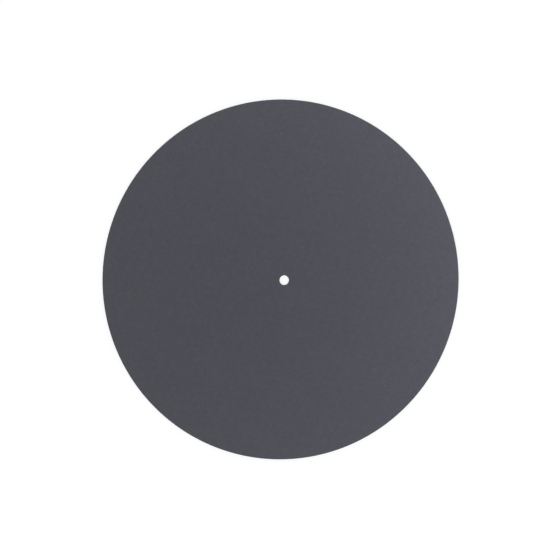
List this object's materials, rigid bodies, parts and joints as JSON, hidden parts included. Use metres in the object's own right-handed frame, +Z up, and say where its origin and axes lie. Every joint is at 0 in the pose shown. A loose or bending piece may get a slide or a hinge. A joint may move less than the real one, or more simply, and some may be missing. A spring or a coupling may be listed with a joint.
{
  "type": "turntable mat",
  "caption": "Flat round felt mat with a centre spindle hole. It lies on a record player's platter, cushions the record and carries it round.",
  "frame": {"origin": "centre of the underside, on the axis of the spindle hole", "axes": "+Z up through the spindle hole, out of the face that carries the record; +X and +Y lie in the plane of the mat, and the mat is the same all round"},
  "size_m": [0.3, 0.3, 0.002],
  "materials": {
    "felt": "pressed felt, matte, dyed slate grey"
  },
  "bodies": {
    "root": {"mat": "felt"}
  },
  "joints": []
}
